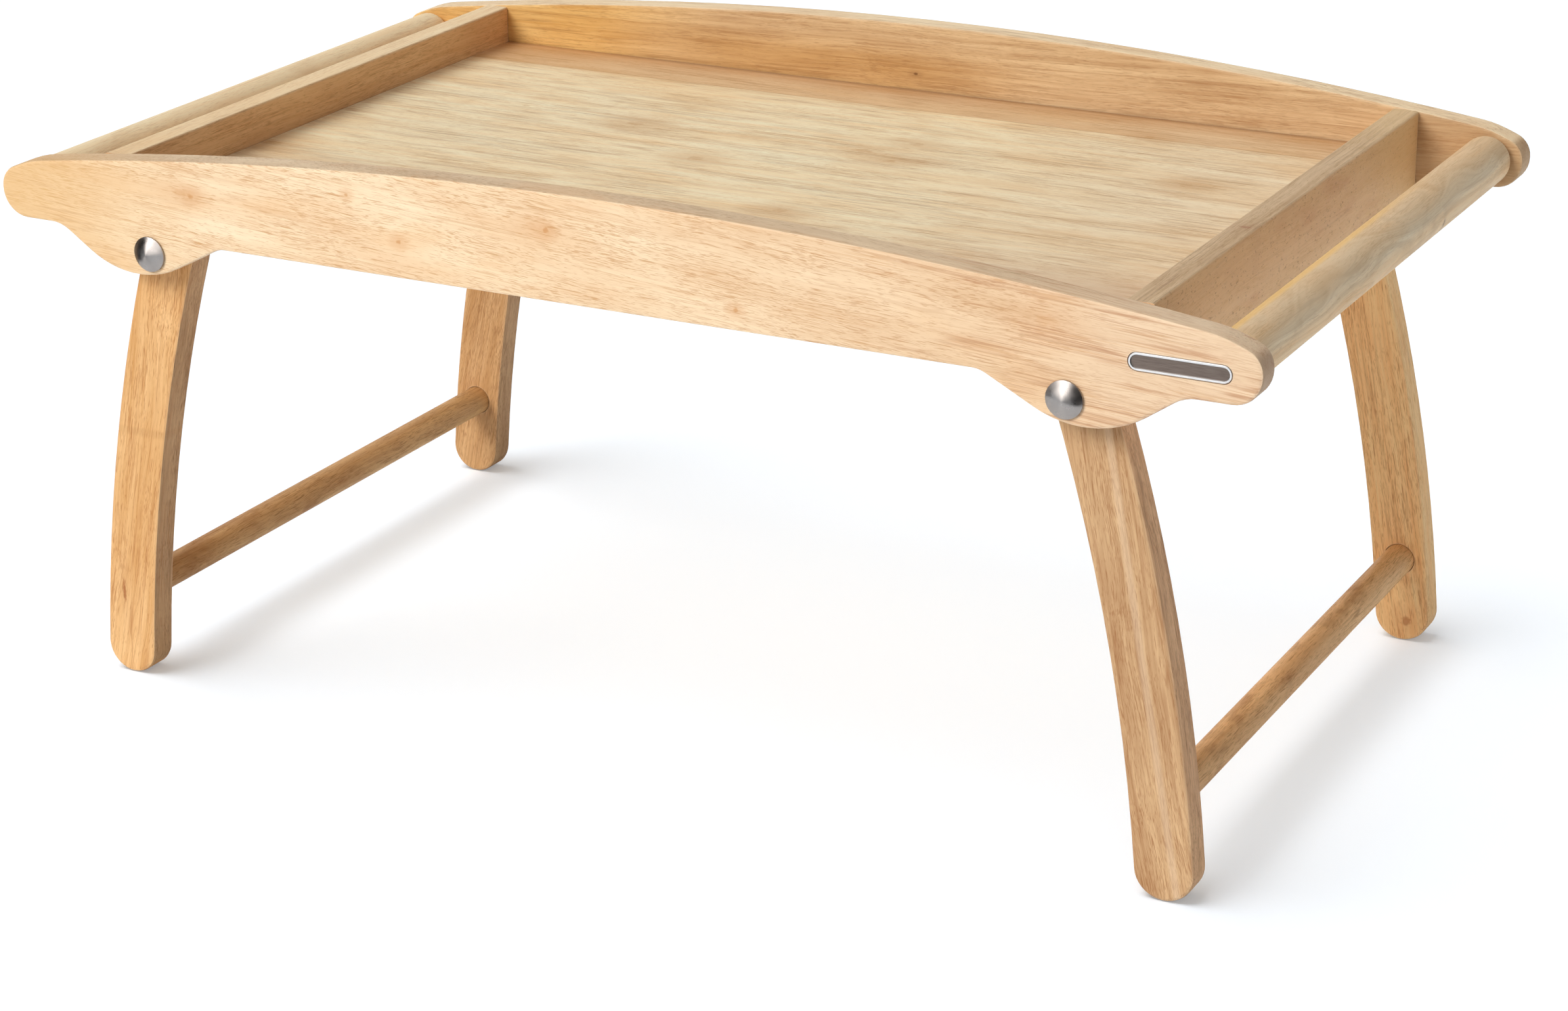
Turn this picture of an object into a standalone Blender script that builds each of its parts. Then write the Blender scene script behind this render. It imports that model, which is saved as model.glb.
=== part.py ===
"""Wooden bed tray with folding legs.

Two side boards carry two end rails, two handles and a floor panel, and four legs that fold inward
in two pairs. Metres, +Z up. The origin is on the ground under the middle of the tray. X runs from
the left handle to the right one, and Y from the front board to the back one.
"""
import math

import bmesh
import bpy
from mathutils import Matrix, Vector

# Overall sizes
TRAY_LENGTH = 0.600
TRAY_WIDTH = 0.3415
PIVOT_HEIGHT = 0.2148
PIVOT_FROM_TIP = 0.0805
FIT_GAP = 0.0003
CUT_OVERRUN = 0.002
MERGE_DISTANCE = 0.000001

# Side boards
BOARD_THICK = 0.0128
BOARD_EASE = 0.0012
EDGE_ABOVE_PIVOT = 0.0066
NOSE_STEP = 0.0012
NOSE_HEIGHT = 0.0249
NOSE_SHOULDER_LENGTH = 0.017
NOSE_SHOULDER_DROP_SHARE = 0.18
NOSE_SHOULDER_ROUND_SHARE = 2.0
NOSE_TOP_ROUND_SHARE = 0.42
NOSE_BOTTOM_ROUND_SHARE = 0.51
ARCH_RISE = 0.0212
LOBE_RADIUS = 0.0462
LOBE_BELOW_PIVOT = 0.0107
LOBE_OUTBOARD = 0.0076
LOBE_INNER_LEAN = math.radians(27.5)
LOBE_OUTER_LEAN = math.radians(34.3)
NECK_RADIUS = 0.0167
EDGE_CORNER_RADIUS = 0.013

# End rails and floor panel
RAIL_INNER_FROM_TIP = 0.062
RAIL_THICK = 0.0125
RAIL_HEIGHT = 0.040
RAIL_EASE = 0.0012
TRAY_DEPTH = 0.018
FLOOR_THICK = 0.0078
TONGUE_LENGTH = 0.004
TONGUE_THICK = 0.004

# Dowel pins in the joints of rails and boards
PIN_DIAMETER = 0.006
PIN_IN_BOARD = 0.008
PIN_IN_RAIL = 0.015
PIN_CHAMFER = 0.0007

# Handles
HANDLE_DIAMETER = 0.0226
HANDLE_INSET = 0.016
HANDLE_ABOVE_NOSE = 0.0133
HANDLE_SHOULDER_ROUND = 0.0038
TENON_DIAMETER = 0.014
TENON_LENGTH = 0.0085
TENON_CHAMFER = 0.0008

# Legs and their stretchers
LEG_WIDTH = 0.0265
LEG_THICK = 0.014
LEG_SPLAY = 0.0408
LEG_BOW = 0.006
LEG_EASE = 0.0014
LEG_STOP_CORNER_RADIUS = 0.004
STRETCHER_DIAMETER = 0.0146
STRETCHER_HEIGHT = 0.041
STRETCHER_IN_LEG = 0.010
STRETCHER_CHAMFER = 0.0008

# Pivot bolts with their washers and cap nuts
BOLT_DIAMETER = 0.006
BOLT_CHAMFER = 0.0007
HEAD_DIAMETER = 0.016
HEAD_HEIGHT = 0.0034
HEAD_RIM = 0.0007
SPACER_DIAMETER = 0.018
SPACER_THICK = 0.0008
WASHER_DIAMETER = 0.014
WASHER_THICK = 0.0012
NUT_ACROSS_FLATS = 0.010
NUT_HEX_HEIGHT = 0.0045
NUT_DOME_HEIGHT = 0.0042
NUT_WALL = 0.0012

# Small metal plate let into the front board
PLATE_LENGTH = 0.0424
PLATE_WIDTH = 0.0074
PLATE_THICK = 0.0014
PLATE_RIM = 0.0009
PLATE_RECESS = 0.0005
PLATE_EASE = 0.0002
PLATE_FROM_TIP = 0.0336
PLATE_ABOVE_NOSE = 0.0119

# Fineness of round shapes
ROUND_TOLERANCE = 0.00005
HANDLE_SEGMENTS = 32
STRETCHER_SEGMENTS = 24
HEAD_SEGMENTS = 24
SMALL_SEGMENTS = 16
PIN_SEGMENTS = 12
EASE_SEGMENTS = 2
DOME_STEPS = 4
FULL_TURN = 2 * math.pi

# Places that follow from the sizes
TIP_X = TRAY_LENGTH / 2
BOARD_OUTER_Y = TRAY_WIDTH / 2
BOARD_INNER_Y = BOARD_OUTER_Y - BOARD_THICK
BOARD_MIDDLE_Y = BOARD_OUTER_Y - BOARD_THICK / 2
PIVOT_X = TIP_X - PIVOT_FROM_TIP
EDGE_Z = PIVOT_HEIGHT + EDGE_ABOVE_PIVOT
NOSE_BOTTOM_Z = EDGE_Z + NOSE_STEP
ARCH_END_Z = NOSE_BOTTOM_Z + NOSE_HEIGHT
CROWN_Z = ARCH_END_Z + ARCH_RISE
FLOOR_BOTTOM_Z = PIVOT_HEIGHT + LEG_WIDTH / 2 + FIT_GAP
FLOOR_TOP_Z = FLOOR_BOTTOM_Z + FLOOR_THICK
TONGUE_BOTTOM_Z = FLOOR_BOTTOM_Z + (FLOOR_THICK - TONGUE_THICK) / 2
TONGUE_TOP_Z = TONGUE_BOTTOM_Z + TONGUE_THICK
RAIL_TOP_Z = FLOOR_TOP_Z + TRAY_DEPTH
RAIL_BOTTOM_Z = RAIL_TOP_Z - RAIL_HEIGHT
RAIL_INNER_X = TIP_X - RAIL_INNER_FROM_TIP
RAIL_MIDDLE_X = RAIL_INNER_X + RAIL_THICK / 2
PIN_HEIGHTS = {
    "upper": (FLOOR_TOP_Z + RAIL_TOP_Z) / 2,
    "lower": (RAIL_BOTTOM_Z + FLOOR_BOTTOM_Z) / 2,
}
HANDLE_X = TIP_X - HANDLE_INSET
HANDLE_Z = NOSE_BOTTOM_Z + HANDLE_ABOVE_NOSE
LEG_OUTER_Y = BOARD_INNER_Y - SPACER_THICK - 2 * FIT_GAP
LEG_INNER_Y = LEG_OUTER_Y - LEG_THICK
LEG_MIDDLE_Y = LEG_OUTER_Y - LEG_THICK / 2

SIDES = {"left": -1, "right": 1}
FACES = {"front": -1, "back": 1}


def clear_scene():
    """Removes whatever the scene holds."""
    for item in list(bpy.data.objects):
        bpy.data.objects.remove(item, do_unlink=True)


def new_collection(name):
    group = bpy.data.collections.new(name)
    bpy.context.scene.collection.children.link(group)
    return group


def principled(name, colour, roughness, metallic=0.0):
    """A plain material for one sub-part."""
    finish = bpy.data.materials.new(name)
    finish.use_nodes = True
    shader = finish.node_tree.nodes["Principled BSDF"]
    shader.inputs["Base Color"].default_value = (*colour, 1.0)
    shader.inputs["Roughness"].default_value = roughness
    shader.inputs["Metallic"].default_value = metallic
    finish.diffuse_color = (*colour, 1.0)
    return finish


def new_object(name, mesh, finish=None, parent=None, location=(0, 0, 0), turn_x=0.0):
    """An object in the tray's collection, or in the cutters' when it has no finish."""
    item = bpy.data.objects.new(name, mesh)
    item.location = location
    item.rotation_euler.x = turn_x
    if finish is None:
        CUTTERS.objects.link(item)
        item.hide_render = True
        item.display_type = "WIRE"
    else:
        TRAY.objects.link(item)
        mesh.materials.append(finish)
    if parent is not None:
        item.parent = parent
    return item


def smooth(mesh):
    """Shades round faces smooth and keeps real edges sharp."""
    mesh.shade_smooth()
    mesh.set_sharp_from_angle(angle=math.radians(35))


def arc_steps(radius, turn):
    """How many chords follow an arc to within the tolerance."""
    return max(2, math.ceil(abs(turn) / (2 * math.acos(1 - ROUND_TOLERANCE / radius))))


def filleted(corners):
    """The points of a closed outline whose corners (point, radius) are rounded by arcs."""
    points = []
    for index, (corner, radius) in enumerate(corners):
        back = corners[index - 1][0] - corner
        ahead = corners[(index + 1) % len(corners)][0] - corner
        opening = back.angle(ahead)
        turn = math.pi - opening
        if radius == 0:
            points.append(corner)
            continue
        reach = min(radius / math.tan(opening / 2), back.length, ahead.length)
        start = corner + back.normalized() * reach
        bisector = (back.normalized() + ahead.normalized()).normalized()
        centre = corner + bisector * (reach / math.cos(opening / 2))
        spoke = start - centre
        way = 1 if spoke.cross(corner - centre) > 0 else -1
        steps = arc_steps(spoke.length, turn)
        for step in range(steps + 1):
            points.append(centre + Matrix.Rotation(way * turn * step / steps, 2) @ spoke)
    return points


def arc(centre, radius, start, end, steps=None):
    """Points on an arc from angle start to angle end, both ends included."""
    steps = steps or arc_steps(radius, end - start)
    angles = [start + (end - start) * step / steps for step in range(steps + 1)]
    return [centre + radius * Vector((math.cos(angle), math.sin(angle))) for angle in angles]


def is_upright(face):
    """Whether a face lies flat in one plane of constant Y."""
    places = [corner.co.y for corner in face.verts]
    return max(places) - min(places) < MERGE_DISTANCE


def outline_mesh(name, points, depth):
    """A closed mesh of an outline in X and Z, filled and as deep as asked along Y."""
    curve = bpy.data.curves.new(name, "CURVE")
    curve.dimensions = "2D"
    curve.fill_mode = "BOTH"
    curve.extrude = depth / 2
    spline = curve.splines.new("POLY")
    spline.points.add(len(points) - 1)
    for place, point in zip(spline.points, points):
        place.co = (point.x, point.y, 0, 1)
    spline.use_cyclic_u = True
    draft = bpy.data.objects.new(name + "_outline", curve)
    draft.rotation_euler.x = math.radians(90)
    CUTTERS.objects.link(draft)
    bpy.context.view_layer.update()
    filled = draft.evaluated_get(bpy.context.evaluated_depsgraph_get())
    mesh = bpy.data.meshes.new_from_object(filled)
    shape = bmesh.new()
    shape.from_mesh(mesh)
    bmesh.ops.remove_doubles(shape, verts=shape.verts, dist=MERGE_DISTANCE)
    bmesh.ops.transform(shape, matrix=draft.matrix_world, verts=shape.verts)
    seams = [edge for edge in shape.edges if all(is_upright(face) for face in edge.link_faces)]
    bmesh.ops.dissolve_edges(shape, edges=seams)
    bmesh.ops.recalc_face_normals(shape, faces=shape.faces)
    shape.to_mesh(mesh)
    shape.free()
    bpy.data.objects.remove(draft, do_unlink=True)
    mesh.name = name
    smooth(mesh)
    return mesh


def box_mesh(name, low, high):
    """A box between two corners."""
    low, high = Vector(low), Vector(high)
    shape = bmesh.new()
    place = Matrix.Translation((low + high) / 2) @ Matrix.Diagonal((*(high - low), 1))
    bmesh.ops.create_cube(shape, size=1, matrix=place)
    mesh = bpy.data.meshes.new(name)
    shape.to_mesh(mesh)
    shape.free()
    return mesh


def rod_mesh(name, radius, start, end, segments):
    """A round rod along Y between two points that differ only in y."""
    start, end = Vector(start), Vector(end)
    shape = bmesh.new()
    place = Matrix.Translation((start + end) / 2) @ Matrix.Rotation(math.radians(90), 4, "X")
    bmesh.ops.create_cone(
        shape, cap_ends=True, segments=segments, radius1=radius, radius2=radius,
        depth=(end - start).length, matrix=place,
    )
    mesh = bpy.data.meshes.new(name)
    shape.to_mesh(mesh)
    shape.free()
    smooth(mesh)
    return mesh


def turned_mesh(name, profile, closed=False):
    """The edges of a turned profile (radius, height), from the top down its outer side."""
    edges = [(index, index + 1) for index in range(len(profile) - 1)]
    if closed:
        edges.append((len(profile) - 1, 0))
    mesh = bpy.data.meshes.new(name)
    mesh.from_pydata([(radius, 0, height) for radius, height in profile], edges, [])
    return mesh


def add_turn(item, segments):
    """Turns a profile round its object's Z axis."""
    screw = item.modifiers.new("turn", "SCREW")
    screw.axis = "Z"
    screw.angle = FULL_TURN
    screw.steps = segments
    screw.render_steps = segments
    screw.use_merge_vertices = True
    screw.merge_threshold = MERGE_DISTANCE
    screw.use_smooth_shade = True


def add_ease(item, width, segments=EASE_SEGMENTS):
    """Rounds the sharp edges of a piece."""
    ease = item.modifiers.new("ease", "BEVEL")
    ease.limit_method = "ANGLE"
    ease.angle_limit = math.radians(50)
    ease.width = width
    ease.segments = segments


def add_boolean(item, other, operation="DIFFERENCE"):
    """Cuts another object out of a piece, or joins it on."""
    change = item.modifiers.new(other.name, "BOOLEAN")
    change.operation = operation
    change.solver = "EXACT"
    change.object = other


def cut_hole(item, name, radius, start, end, segments=SMALL_SEGMENTS):
    """Cuts a round hole along Y into a piece, whose own frame the two ends are in."""
    hole = new_object(name, rod_mesh(name, radius, start, end, segments))
    hole.parent = item
    add_boolean(item, hole)


def lobe_tangent_x(centre, lean, height):
    """Where the tangent that leaves the lobe at a lean reaches a height."""
    return centre.x + (LOBE_RADIUS + math.cos(lean) * (height - centre.y)) / math.sin(lean)


def board_outline():
    """Arched top, round noses, and a lobe below each nose that carries a leg pivot."""
    arch_radius = (TIP_X ** 2 + ARCH_RISE ** 2) / (2 * ARCH_RISE)
    lobe = Vector((PIVOT_X + LOBE_OUTBOARD, PIVOT_HEIGHT - LOBE_BELOW_PIVOT + LOBE_RADIUS))
    inner = Vector((-math.sin(LOBE_INNER_LEAN), -math.cos(LOBE_INNER_LEAN)))
    outer = Vector((math.sin(LOBE_OUTER_LEAN), -math.cos(LOBE_OUTER_LEAN)))
    lobe_corner = lobe + (inner + outer) * (LOBE_RADIUS / (1 + inner.dot(outer)))
    neck_x = lobe_tangent_x(lobe, LOBE_OUTER_LEAN, NOSE_BOTTOM_Z)
    edge_x = lobe_tangent_x(lobe, -LOBE_INNER_LEAN, EDGE_Z)
    arch_end = math.asin((TIP_X - NOSE_SHOULDER_LENGTH) / arch_radius)
    arch_centre = Vector((0, CROWN_Z - arch_radius))
    arch = arc(arch_centre, arch_radius, math.pi / 2, math.pi / 2 - arch_end)
    nose_top = Vector((TIP_X, ARCH_END_Z - NOSE_HEIGHT * NOSE_SHOULDER_DROP_SHARE))
    half = [(point, 0) for point in arch[:-1]]
    half += [
        (arch[-1], NOSE_HEIGHT * NOSE_SHOULDER_ROUND_SHARE),
        (nose_top, NOSE_HEIGHT * NOSE_TOP_ROUND_SHARE),
        (Vector((TIP_X, NOSE_BOTTOM_Z)), NOSE_HEIGHT * NOSE_BOTTOM_ROUND_SHARE),
        (Vector((neck_x, NOSE_BOTTOM_Z)), NECK_RADIUS),
        (lobe_corner, LOBE_RADIUS),
        (Vector((edge_x, EDGE_Z)), EDGE_CORNER_RADIUS),
    ]
    mirrored = [(Vector((-point.x, point.y)), radius) for point, radius in reversed(half[1:])]
    return filleted(half + mirrored)


def make_side_board(face, way):
    """One long board, with its groove, pivot bores and blind holes on the inner side."""
    name = face + "_side_board"
    board = new_object(name, outline_mesh(name, board_outline(), BOARD_THICK), WOOD[name],
                       location=(0, way * BOARD_MIDDLE_Y, 0))
    add_ease(board, BOARD_EASE)
    inner_y = -way * BOARD_THICK / 2
    groove_x = RAIL_INNER_X + TONGUE_LENGTH + FIT_GAP
    groove_deep = inner_y + way * (TONGUE_LENGTH + FIT_GAP)
    groove_open = inner_y - way * CUT_OVERRUN
    groove = new_object(name + "_groove", box_mesh(
        name + "_groove",
        (-groove_x, min(groove_deep, groove_open), TONGUE_BOTTOM_Z - FIT_GAP),
        (groove_x, max(groove_deep, groove_open), TONGUE_TOP_Z + FIT_GAP),
    ))
    groove.parent = board
    add_boolean(board, groove)
    past = BOARD_THICK / 2 + CUT_OVERRUN
    open_y = inner_y - way * CUT_OVERRUN
    tenon_y = inner_y + way * (TENON_LENGTH + FIT_GAP)
    pin_y = inner_y + way * (PIN_IN_BOARD + FIT_GAP)
    for side, out in SIDES.items():
        mark = name + "_" + side
        cut_hole(board, mark + "_pivot_bore", BOLT_DIAMETER / 2 + FIT_GAP,
                 (out * PIVOT_X, -past, PIVOT_HEIGHT), (out * PIVOT_X, past, PIVOT_HEIGHT))
        cut_hole(board, mark + "_handle_hole", TENON_DIAMETER / 2 + FIT_GAP,
                 (out * HANDLE_X, open_y, HANDLE_Z), (out * HANDLE_X, tenon_y, HANDLE_Z))
        for level, height in PIN_HEIGHTS.items():
            cut_hole(board, mark + "_" + level + "_pin_hole", PIN_DIAMETER / 2 + FIT_GAP,
                     (out * RAIL_MIDDLE_X, open_y, height), (out * RAIL_MIDDLE_X, pin_y, height),
                     PIN_SEGMENTS)
    return board


def make_end_rail(side, out):
    """A rail across the tray's end, grooved for the floor's tongue and bored for its dowel pins."""
    name = side + "_end_rail"
    length = 2 * (BOARD_INNER_Y - FIT_GAP)
    corners = [
        (RAIL_INNER_X, RAIL_BOTTOM_Z),
        (RAIL_INNER_X + RAIL_THICK, RAIL_BOTTOM_Z),
        (RAIL_INNER_X + RAIL_THICK, RAIL_TOP_Z),
        (RAIL_INNER_X, RAIL_TOP_Z),
    ]
    section = filleted([(Vector((out * x, z)), RAIL_EASE) for x, z in corners])
    rail = new_object(name, outline_mesh(name, section, length), WOOD[name])
    groove_open = RAIL_INNER_X - CUT_OVERRUN
    groove_deep = RAIL_INNER_X + TONGUE_LENGTH + FIT_GAP
    groove_ends = sorted((out * groove_open, out * groove_deep))
    groove = new_object(name + "_groove", box_mesh(
        name + "_groove",
        (groove_ends[0], -BOARD_OUTER_Y, TONGUE_BOTTOM_Z - FIT_GAP),
        (groove_ends[1], BOARD_OUTER_Y, TONGUE_TOP_Z + FIT_GAP),
    ))
    groove.parent = rail
    add_boolean(rail, groove)
    for face, way in FACES.items():
        for level, height in PIN_HEIGHTS.items():
            hole = name + "_" + face + "_" + level + "_pin_hole"
            cut_hole(rail, hole, PIN_DIAMETER / 2 + FIT_GAP,
                     (out * RAIL_MIDDLE_X, way * (BOARD_INNER_Y - PIN_IN_RAIL - FIT_GAP), height),
                     (out * RAIL_MIDDLE_X, way * (BOARD_INNER_Y + CUT_OVERRUN), height),
                     PIN_SEGMENTS)


def make_floor_panel():
    """The panel between boards and rails, with a tongue all round that sits in their grooves."""
    name = "tray_floor_panel"
    half_x = RAIL_INNER_X - FIT_GAP
    half_y = BOARD_INNER_Y - FIT_GAP
    low = (-half_x, -half_y, FLOOR_BOTTOM_Z)
    panel = new_object(name, box_mesh(name, low, (half_x, half_y, FLOOR_TOP_Z)), WOOD[name])
    tongue_x = RAIL_INNER_X + TONGUE_LENGTH
    tongue_y = BOARD_INNER_Y + TONGUE_LENGTH
    tongue_low = (-tongue_x, -tongue_y, TONGUE_BOTTOM_Z)
    tongue_mesh = box_mesh(name + "_tongue", tongue_low, (tongue_x, tongue_y, TONGUE_TOP_Z))
    tongue = new_object(name + "_tongue", tongue_mesh)
    tongue.parent = panel
    add_boolean(panel, tongue, "UNION")


def dowel_profile(half_length, radius, chamfer):
    """A rod with chamfered ends, as radius and height from its middle."""
    return [
        (0, half_length), (radius - chamfer, half_length), (radius, half_length - chamfer),
        (radius, chamfer - half_length), (radius - chamfer, -half_length), (0, -half_length),
    ]


def handle_profile():
    """Half the handle's profile: tenon, shoulder, and the round run up to full diameter."""
    shoulder = BOARD_INNER_Y - FIT_GAP
    end = BOARD_INNER_Y + TENON_LENGTH
    tenon = TENON_DIAMETER / 2
    body = HANDLE_DIAMETER / 2
    centre = Vector((body - HANDLE_SHOULDER_ROUND, shoulder - HANDLE_SHOULDER_ROUND))
    half = [(0, end), (tenon - TENON_CHAMFER, end), (tenon, end - TENON_CHAMFER), (tenon, shoulder)]
    half += [tuple(point) for point in arc(centre, HANDLE_SHOULDER_ROUND, math.pi / 2, 0)]
    return half + [(radius, -height) for radius, height in reversed(half)]


def make_handle(side, out):
    """A round handle between the noses of the two boards."""
    name = side + "_handle_dowel"
    handle = new_object(name, turned_mesh(name, handle_profile()), WOOD[name],
                        location=(out * HANDLE_X, 0, HANDLE_Z), turn_x=math.radians(90))
    add_turn(handle, HANDLE_SEGMENTS)


def make_rail_pins(side, out):
    """Dowel pins, half in the board and half in the rail."""
    half_length = (PIN_IN_BOARD + PIN_IN_RAIL) / 2
    profile = dowel_profile(half_length, PIN_DIAMETER / 2, PIN_CHAMFER)
    for face, way in FACES.items():
        middle_y = way * (BOARD_INNER_Y + PIN_IN_BOARD - half_length)
        for level, height in PIN_HEIGHTS.items():
            name = face + "_" + side + "_" + level + "_rail_pin"
            place = (out * RAIL_MIDDLE_X, middle_y, height)
            pin = new_object(name, turned_mesh(name, profile), WOOD["rail_pins"],
                             location=place, turn_x=math.radians(90))
            add_turn(pin, PIN_SEGMENTS)


def leg_bow():
    """Centre and radius of the leg's middle line, seen from the pivot, for a leg on the right."""
    foot = Vector((LEG_SPLAY, LEG_WIDTH / 2 - PIVOT_HEIGHT))
    radius = ((foot.length / 2) ** 2 + LEG_BOW ** 2) / (2 * LEG_BOW)
    outward = Vector((-foot.y, foot.x)).normalized()
    return foot / 2 + outward * (LEG_BOW - radius), radius, foot


def leg_outline():
    """Bowed leg: round foot, round top round the pivot, and a flat stop on its outer side."""
    centre, radius, foot = leg_bow()
    half = LEG_WIDTH / 2
    at_pivot = math.atan2(-centre.y, -centre.x)
    at_foot = math.atan2(foot.y - centre.y, foot.x - centre.x)
    outward = Vector((math.cos(at_pivot), math.sin(at_pivot)))
    upward = Vector((-outward.y, outward.x))
    stop_corner = outward * half + upward * ((half - outward.y * half) / upward.y)
    points = arc(centre, radius + half, at_pivot, at_foot)
    points += arc(foot, half, at_foot, at_foot - math.pi)[1:-1]
    points += arc(centre, radius - half, at_foot, at_pivot)
    points += arc(Vector((0, 0)), half, at_pivot + math.pi, math.pi / 2)[1:]
    corners = [(point, 0) for point in points]
    return filleted(corners + [(stop_corner, LEG_STOP_CORNER_RADIUS)])


def stretcher_place():
    """Middle of the stretcher on the leg's middle line, seen from the pivot."""
    centre, radius, _ = leg_bow()
    height = STRETCHER_HEIGHT - PIVOT_HEIGHT
    return Vector((centre.x + math.sqrt(radius ** 2 - (height - centre.y) ** 2), height))


def make_leg(face, way, side, out, pivot):
    """A leg whose origin is on its pivot."""
    name = face + "_" + side + "_leg"
    points = [Vector((out * point.x, point.y)) for point in leg_outline()]
    leg = new_object(name, outline_mesh(name, points, LEG_THICK), WOOD[name], parent=pivot,
                     location=(0, way * LEG_MIDDLE_Y, 0))
    add_ease(leg, LEG_EASE)
    past = LEG_THICK / 2 + CUT_OVERRUN
    cut_hole(leg, name + "_pivot_bore", BOLT_DIAMETER / 2 + FIT_GAP, (0, -past, 0), (0, past, 0))
    place = stretcher_place()
    inner_y = -way * LEG_THICK / 2
    cut_hole(leg, name + "_stretcher_hole", STRETCHER_DIAMETER / 2 + FIT_GAP,
             (out * place.x, inner_y - way * CUT_OVERRUN, place.y),
             (out * place.x, inner_y + way * (STRETCHER_IN_LEG + FIT_GAP), place.y),
             STRETCHER_SEGMENTS)


def make_stretcher(side, out, pivot):
    """A round dowel that joins the two legs of a side."""
    name = side + "_leg_stretcher"
    place = stretcher_place()
    half_length = LEG_INNER_Y + STRETCHER_IN_LEG
    profile = dowel_profile(half_length, STRETCHER_DIAMETER / 2, STRETCHER_CHAMFER)
    stretcher = new_object(name, turned_mesh(name, profile), WOOD[name], parent=pivot,
                           location=(out * place.x, 0, place.y), turn_x=math.radians(90))
    add_turn(stretcher, STRETCHER_SEGMENTS)


def bolt_profile(reach):
    """Domed head above zero and a shank that reaches down below it."""
    head = HEAD_DIAMETER / 2
    dome = HEAD_HEIGHT - HEAD_RIM
    sphere = (head ** 2 + dome ** 2) / (2 * dome)
    rim_angle = math.pi / 2 - math.asin(head / sphere)
    centre = Vector((0, HEAD_HEIGHT - sphere))
    cap = [tuple(point) for point in arc(centre, sphere, math.pi / 2, rim_angle, DOME_STEPS)]
    shank = BOLT_DIAMETER / 2
    return [(0, HEAD_HEIGHT)] + cap[1:] + [
        (head, 0), (shank, 0), (shank, BOLT_CHAMFER - reach), (shank - BOLT_CHAMFER, -reach), (0, -reach),
    ]


def ring_profile(inner, outer, height):
    """A flat ring that stands on zero."""
    return [(inner, height), (outer, height), (outer, 0), (inner, 0)]


def make_cap_nut(name, place, turn_x):
    """Hexagon with a dome on it and a blind bore from below."""
    corner = NUT_ACROSS_FLATS / 2 / math.cos(math.pi / 6)
    bore = BOLT_DIAMETER / 2 + FIT_GAP
    dome_radius = bore + NUT_WALL
    height = NUT_HEX_HEIGHT + NUT_DOME_HEIGHT
    shape = bmesh.new()
    bmesh.ops.create_cone(shape, cap_ends=True, segments=6, radius1=corner, radius2=corner,
                          depth=NUT_HEX_HEIGHT, matrix=Matrix.Translation((0, 0, NUT_HEX_HEIGHT / 2)))
    mesh = bpy.data.meshes.new(name)
    shape.to_mesh(mesh)
    shape.free()
    nut = new_object(name, mesh, METAL["cap_nuts"], location=place, turn_x=turn_x)
    quarter = arc(Vector((0, 0)), 1, math.pi / 2, 0, DOME_STEPS)
    dome_profile = [(0, height)]
    for point in quarter[1:]:
        dome_profile.append((dome_radius * point.x, NUT_HEX_HEIGHT + NUT_DOME_HEIGHT * point.y))
    dome_profile += [(dome_radius, NUT_HEX_HEIGHT / 2), (0, NUT_HEX_HEIGHT / 2)]
    dome_mesh = turned_mesh(name + "_dome", dome_profile)
    cap = new_object(name + "_dome", dome_mesh, location=place, turn_x=turn_x)
    add_turn(cap, SMALL_SEGMENTS)
    add_boolean(nut, cap, "UNION")
    bore_profile = [
        (0, height - NUT_WALL), (bore, height - NUT_WALL - BOLT_CHAMFER), (bore, -CUT_OVERRUN),
        (0, -CUT_OVERRUN),
    ]
    drill_mesh = turned_mesh(name + "_bore", bore_profile)
    drill = new_object(name + "_bore", drill_mesh, location=place, turn_x=turn_x)
    add_turn(drill, SMALL_SEGMENTS)
    add_boolean(nut, drill)


def make_pivot(face, way, side, out):
    """Bolt through board, spacer, leg and washer, closed by a cap nut on the inner side."""
    mark = face + "_" + side
    x = out * PIVOT_X
    head_y = BOARD_OUTER_Y + FIT_GAP
    washer_y = LEG_INNER_Y - FIT_GAP
    nut_y = washer_y - WASHER_THICK - FIT_GAP
    nut_depth = NUT_HEX_HEIGHT + NUT_DOME_HEIGHT - NUT_WALL - BOLT_CHAMFER - FIT_GAP
    outward = -way * math.radians(90)
    bolt_mesh = turned_mesh(mark + "_pivot_bolt", bolt_profile(head_y - nut_y + nut_depth))
    bolt = new_object(mark + "_pivot_bolt", bolt_mesh, METAL["pivot_bolts"],
                      location=(x, way * head_y, PIVOT_HEIGHT), turn_x=outward)
    add_turn(bolt, HEAD_SEGMENTS)
    rings = [
        (mark + "_spacer_washer", SPACER_DIAMETER, SPACER_THICK, BOARD_INNER_Y - FIT_GAP),
        (mark + "_inner_washer", WASHER_DIAMETER, WASHER_THICK, washer_y),
    ]
    for name, diameter, thick, outer_y in rings:
        profile = ring_profile(BOLT_DIAMETER / 2 + FIT_GAP, diameter / 2, thick)
        ring = new_object(name, turned_mesh(name, profile, closed=True), METAL["washers"],
                          location=(x, way * (outer_y - thick), PIVOT_HEIGHT), turn_x=outward)
        add_turn(ring, SMALL_SEGMENTS)
    make_cap_nut(mark + "_cap_nut", (x, way * nut_y, PIVOT_HEIGHT), -outward)


def stadium(length, width):
    """A flat oval with straight long sides."""
    end = Vector(((length - width) / 2, 0))
    return arc(end, width / 2, -math.pi / 2, math.pi / 2) + arc(
        -end, width / 2, math.pi / 2, 3 * math.pi / 2)


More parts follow.
